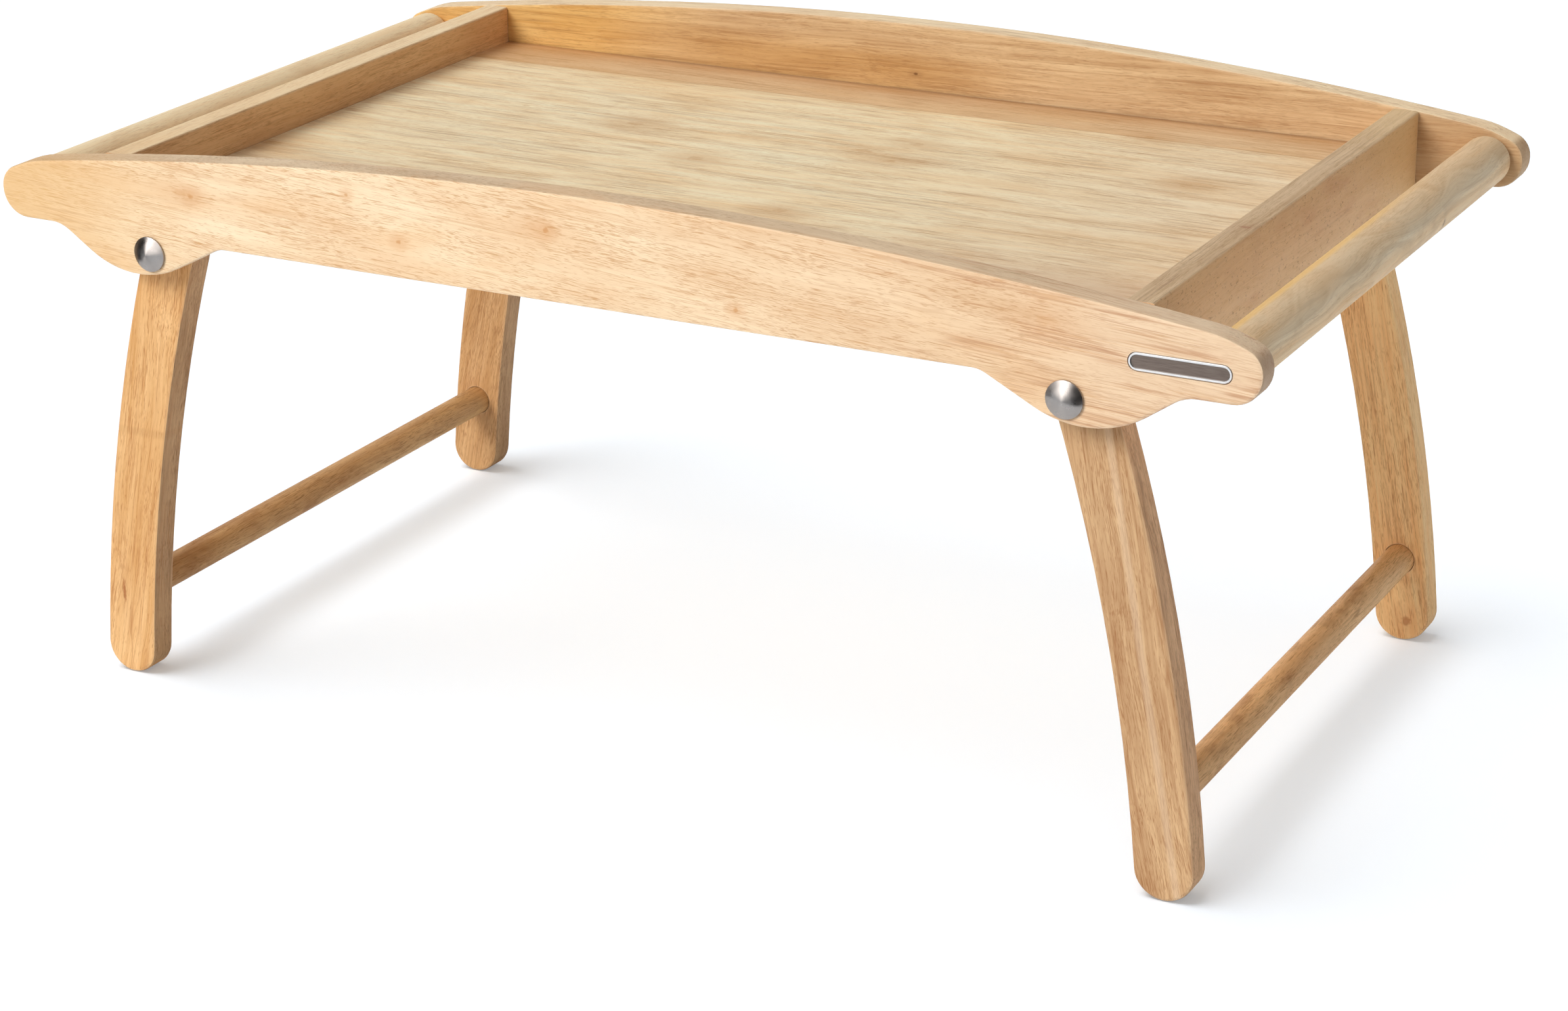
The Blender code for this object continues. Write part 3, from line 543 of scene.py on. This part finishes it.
def right_rail_wood():
    """Brown with a darker top edge as painted shade; its outer face is paler, with dark dots and red
    blotches.
    """
    wood = Wood("right_rail_wood", Y, 5.9, (-0.05, -0.24),
                shades=((236, 198, 150), (204, 160, 114), (146, 94, 64)),
                pore=0.30, line=0.35, ring=0.3, streak=1.0, patch=1.2)
    # Painted shade: the top edge is darker
    wood.other_tints(wood.looks(Z), ((223, 193, 153), (183, 147, 107), (132, 98, 68)))
    wood.lines(7, 520, 0.070, (140, 104, 76), 0.40, wood.looks(Z))
    outer = wood.past(X, RAIL_OUTER_X - 0.0009, RAIL_OUTER_X - 0.0003)
    wood.tint((236, 196, 142), 0.50, outer)
    wood.blotch((900, 500, 900), 0.60, 0.70, (142, 88, 62), 0.50, outer)
    wood.blotch((50, 18, 70), 0.52, 0.72, (200, 136, 98), 0.32, outer)
    wood.tint((232, 194, 134), 0.40, wood.past(Y, 0.05, 0.157))
    wood.knot((0.2450, -0.0480, 0.2541), (0.0034, 0.0020, 0.01), (164, 104, 72), 0.6, 0.10)
    return wood.done()


# Handles and stretchers: turned rods with fibres along them

RIGHT_HANDLE_SHINE = 0.12
INWARD_AND_UP = (-0.616, 0.0, 0.788)


def left_handle_wood():
    """Pale, with soft blotches."""
    wood = Wood("left_handle_wood", Y, 7.3, (0.27, -0.20),
                shades=((255, 238, 198), (252, 218, 170), (196, 144, 98)),
                pore=0.30, line=0.35, ring=0.4, streak=0.9, patch=1.1)
    wood.blotch((40, 18, 40), 0.52, 0.70, (222, 182, 136), 0.40)
    return wood.done()


def right_handle_wood():
    """Pale and matt, with swirls, a golden stripe on its upper inner side and a thin dark knot, and painted
    shade that makes its top greyer and its underside warmer.
    """
    wood = Wood("right_handle_wood", Y, 8.8, (-0.29, -0.25), lean=math.radians(3),
                shades=((255, 238, 206), (252, 220, 178), (184, 140, 98)), shine=RIGHT_HANDLE_SHINE,
                pore=0.35, line=0.30, ring=0.7, streak=0.8, patch=1.2)
    wood.swirl(0.060, 110, (230, 206, 170), 0.42)
    wood.swirl(0.045, 380, (206, 170, 126), 0.40)
    # Painted shade: greyer, darker tints on the top and warmer ones underneath
    wood.other_tints(wood.looks(Z, 0.30, 0.90), ((234, 204, 164), (226, 186, 138), (164, 122, 78)))
    wood.other_tints(wood.looks(Z, 0.45, -0.10), ((255, 222, 174), (252, 204, 150), (188, 134, 84)))
    wood.blotch((34, 14, 34), 0.48, 0.66, (236, 220, 190), 0.20)
    wood.blotch((70, 36, 70), 0.54, 0.70, (196, 156, 108), 0.30)
    stripe = wood.tree.ramp(wood.along(INWARD_AND_UP, HANDLE_AXIS), 0.0092, 0.0107)
    wood.tint((240, 196, 120), 0.70, stripe, wood.past(Y, 0.10, -0.03))
    wood.knot((0.2945, 0.0612, 0.2330), (0.012, 0.0012, 0.0026), (132, 92, 76), 0.7, 0.12)
    return wood.done()


# Seed and shades
STRETCHERS = {
    "left": (9.7, ((222, 180, 126), (174, 126, 76), (118, 76, 38))),
    "right": (11.2, ((252, 206, 148), (210, 155, 99), (146, 94, 47))),
}


def stretcher_wood(side):
    """Patchy, with dark blotches."""
    seed, shades = STRETCHERS[side]
    wood = Wood(side + "_stretcher_wood", Y, seed, (0.0, -0.07), shades=shades,
                pore=0.5, line=0.5, ring=0.5, streak=0.9, patch=1.6)
    wood.blotch((60, 26, 60), 0.54, 0.70, (154, 102, 54), 0.50)
    return wood.done()


# Legs: fibres along the leg

LEG_LEAN = math.radians(11)
CROSS_LINE_Z = 0.1226
ACROSS_THE_LEG = (0.985, 0.0, 0.174)
ON_THE_STRIPE = (0.249515, -0.15, 0.099826)

# Seed, pith, own shades, and the shades of the side that faces right: painted shade on the left legs,
# painted light on the right legs
LEGS = {
    "front_left_leg": (13.1, (0.17, 0.22), ((244, 197, 139), (212, 155, 93), (172, 104, 50)),
                       ((214, 172, 126), (172, 130, 88), (128, 86, 52))),
    "back_left_leg": (14.8, (-0.12, 0.24), ((220, 175, 124), (186, 136, 84), (140, 90, 48)),
                      ((206, 166, 120), (168, 126, 84), (126, 84, 48))),
    "front_right_leg": (16.2, (0.16, -0.24), ((222, 183, 137), (174, 129, 87), (150, 94, 50)),
                        ((246, 198, 148), (202, 150, 104), (148, 101, 64))),
    # Its own shades are paler: painted light where the tray shades this leg
    "back_right_leg": (17.9, (-0.20, -0.22), ((255, 214, 152), (248, 184, 120), (180, 110, 62)),
                       ((255, 216, 154), (250, 190, 122), (200, 140, 80))),
}


def mark_front_left_leg(wood):
    """A thin upright knot near the foot and a faint cross line half way up."""
    wood.knot((-0.2617, -0.1566, 0.0408), (0.0012, 0.01, 0.0080), (160, 92, 46), 0.80, 0.14)
    from_line = wood.tree.minus(wood.axis(Z), CROSS_LINE_Z)
    wood.tint((176, 122, 70), 0.20, wood.strip(from_line, 0.0030, 0.0008))


def mark_front_right_leg(wood):
    """A pale stripe along the leg."""
    from_stripe = wood.along(ACROSS_THE_LEG, ON_THE_STRIPE)
    wood.tint((234, 206, 174), 0.30, wood.strip(from_stripe, 0.0026, 0.0006))


def mark_back_right_leg(wood):
    """A round knot in the foot."""
    wood.knot((0.2626, 0.1426, 0.0101), (0.0036, 0.01, 0.0038), (172, 98, 50), 0.72, 0.26)


LEG_MARKS = {
    "front_left_leg": mark_front_left_leg,
    "front_right_leg": mark_front_right_leg,
    "back_right_leg": mark_back_right_leg,
}


def leg_wood(node):
    """Strongly streaked and full of pores, with lines in the colour of its pores."""
    seed, pith, shades, painted_right_side_shades = LEGS[node]
    lean = -LEG_LEAN if "left" in node else LEG_LEAN
    wood = Wood(node + "_wood", Z, seed, pith, shades, lean,
                pore=0.62, line=0.45, ring=0.35, streak=1.2, patch=1.3)
    # Painted light and shade on the side that faces right
    wood.other_tints(wood.looks(X), painted_right_side_shades)
    wood.lines(7, 420, 0.045, shades[2], 0.38)
    if node in LEG_MARKS:
        LEG_MARKS[node](wood)
    return wood.done()


def pin_wood():
    """The dowel pins in the joints."""
    return Wood("pin_wood", Y, 21.0, (0.05, 0.07),
                shades=((238, 212, 172), (212, 176, 132), (170, 122, 78))).done()


# Steel

CLOUD_WAVES = (260, 260, 260)
DARK_STEEL = 0.82
SPUN_BRUSH = (300, 300, 300)
SPUN_RING_WAVES = (9000, 0, 0)
WASHER_BRUSH = (1800, 600, 1800)
PLATE_BRUSH = (160, 3000, 3000)
BOLT_TINT = (0.46, 0.415, 0.385)
WASHER_TINT = (0.60, 0.59, 0.58)
NUT_TINT = (0.62, 0.61, 0.60)
PLATE_FIELD = (0.27, 0.215, 0.18, 1)
PLATE_FIELD_DARK = (0.13, 0.10, 0.085, 1)
PLATE_RIM = (0.80, 0.79, 0.78, 1)
BRUSHED_RELIEF = 0.00003
SPUN_RELIEF = 0.00002
PLATE_RELIEF = 0.00035

# How far inside the plate's outline the rim starts and is full
RIM_START = 0.00115
RIM_FULL = 0.00080


class Steel(Material):
    """Bright steel, with brush lines of this many waves in a metre along each axis."""

    def __init__(self, name, rough, brush):
        super().__init__(name)
        tree = self.tree
        self.place = tree.where("Object")
        self.lines = tree.noise(self.place, brush, 3, 0.6)
        self.mottle = tree.times(tree.plus(self.lines, tree.noise(self.place, CLOUD_WAVES)), 0.5)
        roughness = tree.ramp(self.mottle, 0.3, 0.7, rough - 0.05, rough + 0.07)
        self.set(Metallic=1.0, Roughness=roughness)

    def mottled(self, red, green, blue):
        """Colours the steel, mottled with a darker tint."""
        darker = (DARK_STEEL * red, DARK_STEEL * green, DARK_STEEL * blue, 1.0)
        self.set(Base_Color=self.tree.mix(self.mottle, (red, green, blue, 1.0), darker))


def brushed_steel(name, tint, rough, brush):
    """Steel with fine brushing."""
    steel = Steel(name, rough, brush)
    steel.mottled(*tint)
    steel.set(Normal=steel.tree.relief(steel.lines, 0.4, BRUSHED_RELIEF))
    return steel.material


def spun_steel(name, tint, rough):
    """Steel polished on a lathe: fine rings round the pivots, whose axes run along Y."""
    steel = Steel(name, rough, SPUN_BRUSH)
    steel.mottled(*tint)
    tree = steel.tree
    place = tree.split(steel.place)
    from_axis = tree.minus(tree.size(place[X]), PIVOT_AXIS.x)
    radius = tree.vector("LENGTH", tree.join(from_axis, 0.0, tree.minus(place[Z], PIVOT_AXIS.z)))
    rings = tree.noise(tree.join(radius), SPUN_RING_WAVES, 2, 0.7)
    tangent = tree.add("ShaderNodeTangent", direction_type="RADIAL", axis="Y").outputs[0]
    steel.set(
        Normal=tree.relief(rings, 0.5, SPUN_RELIEF),
        Anisotropic=0.8,
        Anisotropic_Rotation=0.25,
        Tangent=tangent,
    )
    return steel.material


def plate_steel():
    """The bare plate: a brushed dark field a little below a bright rim."""
    low, high = box_of("inlay_plate")
    radius = (high.z - low.z) / 2
    straight = (high.x - low.x) / 2 - radius
    steel = Steel("plate_steel", 0.50, PLATE_BRUSH)
    tree = steel.tree
    off = tree.split(tree.vector("SUBTRACT", steel.place, middle_of("inlay_plate")))
    past = tree.math("MAXIMUM", tree.minus(tree.size(off[X]), straight), 0.0)
    reach = tree.vector("LENGTH", tree.join(past, 0.0, off[Z]))
    rim = tree.ramp(reach, radius - RIM_START, radius - RIM_FULL)
    field = tree.mix(steel.lines, PLATE_FIELD, PLATE_FIELD_DARK)
    steel.set(
        Base_Color=tree.mix(rim, field, PLATE_RIM),
        Normal=tree.relief(tree.plus(rim, tree.times(steel.lines, 0.05)), 1.0, PLATE_RELIEF),
    )
    return steel.material


# Each piece gets its material

def dress(ending, material):
    """Gives all CAD nodes whose names end so this material."""
    for node, item in NODES.items():
        if node.endswith(ending):
            for slot in item.material_slots:
                slot.material = material
            if not item.material_slots:
                item.data.materials.append(material)


dress("front_side_board", front_board_wood())
dress("back_side_board", back_board_wood())
dress("tray_floor_panel", floor_panel_wood())
dress("left_end_rail", left_rail_wood())
dress("right_end_rail", right_rail_wood())
dress("left_handle_dowel", left_handle_wood())
dress("right_handle_dowel", right_handle_wood())
for side in STRETCHERS:
    dress(side + "_leg_stretcher", stretcher_wood(side))
for node in LEGS:
    dress(node, leg_wood(node))
dress("_rail_pin", pin_wood())
dress("_pivot_bolt", spun_steel("bolt_steel", BOLT_TINT, 0.30))
dress("_washer", brushed_steel("washer_steel", WASHER_TINT, 0.34, WASHER_BRUSH))
dress("_cap_nut", spun_steel("nut_steel", NUT_TINT, 0.30))
dress("inlay_plate", plate_steel())


# Smooth shading of the round faces

SHARP_ANGLE = math.radians(35)
SAME_PLACE = 1e-6
FLAT_FACE_WEIGHT = 90


def make_smoother():
    """Joins the faces of a node and shades them smooth, up to the sharp angle."""
    group = bpy.data.node_groups.new("smooth_edges", "GeometryNodeTree")
    for way in ("INPUT", "OUTPUT"):
        group.interface.new_socket("Geometry", in_out=way, socket_type="NodeSocketGeometry")
    tree = Tree(group)
    given = tree.add("NodeGroupInput").outputs[0]
    joined = tree.add("GeometryNodeMergeByDistance", {"Geometry": given, "Distance": SAME_PLACE}).outputs[0]
    values = {"Geometry": joined, "Shade Smooth": True}
    smooth = tree.add("GeometryNodeSetShadeSmooth", values, domain="FACE").outputs[0]
    angle = tree.add("GeometryNodeInputMeshEdgeAngle").outputs["Unsigned Angle"]
    sharp = tree.math("GREATER_THAN", angle, SHARP_ANGLE)
    values = {"Geometry": smooth, "Selection": sharp, "Shade Smooth": False}
    shaded = tree.add("GeometryNodeSetShadeSmooth", values, domain="EDGE").outputs[0]
    tree.put(tree.add("NodeGroupOutput").inputs[0], shaded)
    return group


smoother = make_smoother()
for item in NODES.values():
    item.modifiers.new("smooth_edges", "NODES").node_group = smoother
    normals = item.modifiers.new("flat_faces_first", "WEIGHTED_NORMAL")
    normals.weight = FLAT_FACE_WEIGHT
    normals.keep_sharp = True


# The stage: a paper floor, and a card and two flags that only reflections see

FLOOR_REACH = 20 * TRAY_LENGTH
CARD_LEFT, CARD_RIGHT = -1.2, 0.3
CARD_Y = -1.4
CARD_FOOT, CARD_TOP = 0.10, 1.8
FLAG_FEET = {"left": ((-0.51, -0.52), (-0.66, 0.05)), "right": ((0.26, -0.62), (0.68, -0.24))}
FLAG_HEIGHT = 1.0
FLOOR_TINT = (0.750, 0.808, 0.872, 1)
CARD_TINT = (0.1, 0.1, 0.1, 1)
FLAG_TINT = (0.01, 0.01, 0.01, 1)
FLOOR_GLOW = 0.250
FLOOR_MIRRORED_GLOW = 0.10
CARD_MIRRORED_GLOW = 2.4


def paper(name, tint, camera_glow, glossy_glow):
    """Matt studio paper, lifted by a glow that only the camera and reflections see."""
    sheet = Material(name)
    tree = sheet.tree
    rays = tree.add("ShaderNodeLightPath").outputs
    mirrored = tree.plus(rays["Is Glossy Ray"], rays["Is Transmission Ray"], clamp=True)
    seen = tree.times(rays["Is Camera Ray"], camera_glow)
    sheet.set(
        Base_Color=tint,
        Roughness=0.9,
        Specular_IOR_Level=0.1,
        Emission_Color=(1, 1, 1, 1),
        Emission_Strength=tree.plus(seen, tree.times(mirrored, glossy_glow)),
    )
    return sheet.material


def sheet_of(name, corners, material):
    """A flat stage object."""
    mesh = bpy.data.meshes.new(name)
    mesh.from_pydata(corners, [], [(0, 1, 2, 3)])
    mesh.materials.append(material)
    item = bpy.data.objects.new(name, mesh)
    bpy.context.scene.collection.objects.link(item)
    return item


def upright(name, near, far, foot, top, material):
    """An upright sheet from near to far, each an x and a y, that reflections alone see."""
    corners = [(*near, foot), (*far, foot), (*far, top), (*near, top)]
    item = sheet_of(name, corners, material)
    item.visible_camera = False
    item.visible_diffuse = False
    item.visible_shadow = False
    item.visible_transmission = False


def make_floor():
    """The paper that the tray stands on, far wider than the tray."""
    end = FLOOR_REACH
    corners = [(-end, -end, 0), (end, -end, 0), (end, end, 0), (-end, end, 0)]
    material = paper("studio_paper", FLOOR_TINT, FLOOR_GLOW, FLOOR_MIRRORED_GLOW)
    return sheet_of("studio_floor", corners, material)


def make_card_and_flags():
    """A soft light in front for the reflections, and a dark flag on each side of it."""
    upright("studio_card", (CARD_LEFT, CARD_Y), (CARD_RIGHT, CARD_Y), CARD_FOOT, CARD_TOP,
            paper("card_paper", CARD_TINT, 0.0, CARD_MIRRORED_GLOW))
    for side, (near, far) in FLAG_FEET.items():
        upright(side + "_studio_flag", near, far, 0.0, FLAG_HEIGHT,
                paper(side + "_flag_paper", FLAG_TINT, 0.0, 0.0))


floor = make_floor()
make_card_and_flags()


# Light

WORLD_BELOW, WORLD_ABOVE = 0.34, 0.32
KEY_FROM = Vector((-0.36, -0.70, 0.58))
KEY_ENERGY = 2.50
KEY_SOFTNESS = math.radians(30)
PAPER_LIGHT_FROM = Vector((-0.32, -0.20, 0.90))
PAPER_LIGHT_ENERGY = 2.45
PAPER_LIGHT_SOFTNESS = math.radians(43)


def make_world():
    """White for the camera and reflections, and a dimmer light on everything."""
    world = bpy.data.worlds.new("studio_world")
    bpy.context.scene.world = world
    world.use_nodes = True
    tree = Tree(world.node_tree)
    rays = tree.add("ShaderNodeLightPath").outputs
    mirrored = tree.plus(rays["Is Glossy Ray"], rays["Is Transmission Ray"])
    seen = tree.plus(rays["Is Camera Ray"], mirrored, clamp=True)
    up = tree.split(tree.where("Generated"))[Z]
    dim = tree.ramp(up, -0.1, 0.8, WORLD_BELOW, WORLD_ABOVE)
    background = world.node_tree.nodes["Background"].inputs
    background["Color"].default_value = (1, 1, 1, 1)
    tree.put(background["Strength"], tree.plus(seen, tree.times(tree.minus(1.0, seen), dim)))


def collection_of(name, items):
    """A collection for light linking."""
    collection = bpy.data.collections.new(name)
    for item in items:
        collection.objects.link(item)
    return collection


def sun(name, towards, energy, softness, receivers, blockers=None):
    """A soft sun for the objects it is linked to."""
    data = bpy.data.lights.new(name, "SUN")
    data.energy = energy
    data.angle = softness
    lamp = bpy.data.objects.new(name, data)
    lamp.rotation_euler = towards.to_track_quat("Z", "Y").to_euler()
    bpy.context.scene.collection.objects.link(lamp)
    lamp.light_linking.receiver_collection = receivers
    lamp.light_linking.blocker_collection = blockers


def make_lights():
    """As in the photograph, the paper is lit from above, and keeps soft shadows of the legs alone."""
    paper_only = collection_of("lit_paper", [floor])
    all_but_paper = collection_of("lit_pieces", [floor])
    all_but_paper.collection_objects[0].light_linking.link_state = "EXCLUDE"
    legs = [item for node, item in NODES.items() if node.endswith(("_leg", "_stretcher"))]
    legs_only = collection_of("shadow_casters", legs)
    sun("key_light", KEY_FROM, KEY_ENERGY, KEY_SOFTNESS, all_but_paper)
    sun("paper_light", PAPER_LIGHT_FROM, PAPER_LIGHT_ENERGY, PAPER_LIGHT_SOFTNESS, paper_only, legs_only)


make_world()
make_lights()


# Camera, as fitted to the photograph

CAMERA_LENS = 80.864
CAMERA_SENSOR = 36.0
CAMERA_PLACE = (0.7281, -1.35366, 0.6697)
CAMERA_ANGLES = (68.805, 0.671, 27.862)


def make_camera():
    """The photograph's camera."""
    data = bpy.data.cameras.new("camera")
    data.lens = CAMERA_LENS
    data.sensor_width = CAMERA_SENSOR
    data.sensor_fit = "HORIZONTAL"
    camera = bpy.data.objects.new("camera", data)
    camera.location = CAMERA_PLACE
    camera.rotation_euler = Euler([math.radians(angle) for angle in CAMERA_ANGLES])
    bpy.context.scene.collection.objects.link(camera)
    bpy.context.scene.camera = camera


make_camera()
bpy.context.scene.view_settings.view_transform = "Standard"
